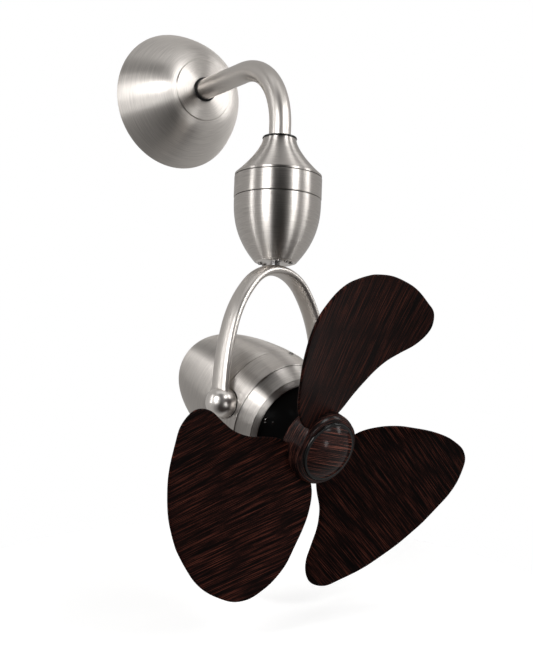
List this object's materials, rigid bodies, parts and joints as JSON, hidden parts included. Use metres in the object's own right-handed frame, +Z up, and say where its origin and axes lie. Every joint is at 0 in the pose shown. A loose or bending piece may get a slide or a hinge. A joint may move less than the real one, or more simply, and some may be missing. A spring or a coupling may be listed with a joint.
{
  "type": "wall and ceiling fan",
  "caption": "Metal fan on a gooseneck wall arm: domed canopy, oscillating acorn housing, arched yoke, tilting motor head and broad wooden paddle blades.",
  "frame": {"origin": "on the wall, at the centre of the wall plate's back face", "axes": "+Y points into the wall, +Z up, +X to the viewer's right; the arm leaves the wall along -Y"},
  "size_m": [0.4509, 0.5068, 0.8099],
  "materials": {
    "nickel": "brushed warm nickel",
    "zinc": "bright zinc plate",
    "casting": "as cast, machined seats",
    "motor_can": "drawn sheet steel, clear lacquer",
    "shaft_steel": "ground",
    "bearing_steel": "ground, shielded",
    "gear_nylon": "moulded nylon",
    "rubber": "moulded, satin",
    "black_paint": "gloss black",
    "lamination": "stacked sheet, varnished",
    "copper_wire": "enamelled copper wire",
    "capacitor_case": "moulded case",
    "wood": "dark espresso stain, satin lacquer"
  },
  "bodies": {
    "wall_arm": {"wall_plate": "zinc", "arm_flange": "zinc", "flange_washers": "zinc", "flange_nuts": "zinc", "arm_tube": "nickel", "canopy_bowl": "nickel", "canopy_cap": "nickel", "arm_grommet": "rubber", "collar_ring": "rubber", "upper_bell": "nickel", "tube_coupler": "casting", "coupler_bolt": "zinc", "coupler_screws": "zinc", "mount_plate": "zinc", "oscillation_motor": "motor_can", "motor_screws": "zinc", "standoffs": "zinc", "bearing_plate": "casting", "plate_screws": "zinc", "spindle_bearings": "bearing_steel", "housing_band": "nickel", "lower_cup": "nickel"},
    "pinion": {"drive_pinion": "gear_nylon"},
    "yoke": {"spindle": "shaft_steel", "yoke_gear": "gear_nylon", "spindle_nut": "zinc", "foot_disc": "nickel", "foot_screws": "zinc", "yoke_arch": "nickel", "left_knob": "nickel", "right_knob": "nickel", "knob_gaskets": "rubber"},
    "fan_head": {"front_housing": "nickel", "rear_cover": "nickel", "cover_screws": "zinc", "left_tilt_pin": "shaft_steel", "right_tilt_pin": "shaft_steel", "motor_shell": "motor_can", "front_bell": "black_paint", "bell_screws": "black_paint", "stator_core": "lamination", "stator_windings": "copper_wire", "shaft_bearings": "bearing_steel", "run_capacitor": "capacitor_case"},
    "rotor": {"motor_shaft": "shaft_steel", "rotor_core": "lamination", "hub": "wood", "blade_a": "wood", "blade_b": "wood", "blade_c": "wood", "blade_screws": "zinc", "hub_nut": "zinc", "hub_cap": "wood", "cap_ring": "black_paint"}
  },
  "joints": [
    {"name": "oscillation", "type": "hinge", "parent": "wall_arm", "child": "yoke", "pos_m": [0, -0.271, -0.27], "axis": [0, 0, 1], "range_deg": [-51, 28]},
    {"name": "pinion_turn", "type": "hinge", "parent": "wall_arm", "child": "pinion", "pos_m": [0.035, -0.271, -0.22], "axis": [0, 0, 1], "range_deg": [-72, 130]},
    {"name": "head_tilt", "type": "hinge", "parent": "yoke", "child": "fan_head", "pos_m": [0, -0.271, -0.468], "axis": [0.9799, 0.1994, 0], "range_deg": [-27, 29]},
    {"name": "fan_spin", "type": "hinge", "parent": "fan_head", "child": "rotor", "pos_m": [0, -0.271, -0.468], "axis": [0.1744, -0.8571, -0.4848], "continuous": true}
  ],
  "couplings": [
    {"joint": "pinion_turn", "follows": "oscillation", "ratio": -2.5}
  ]
}
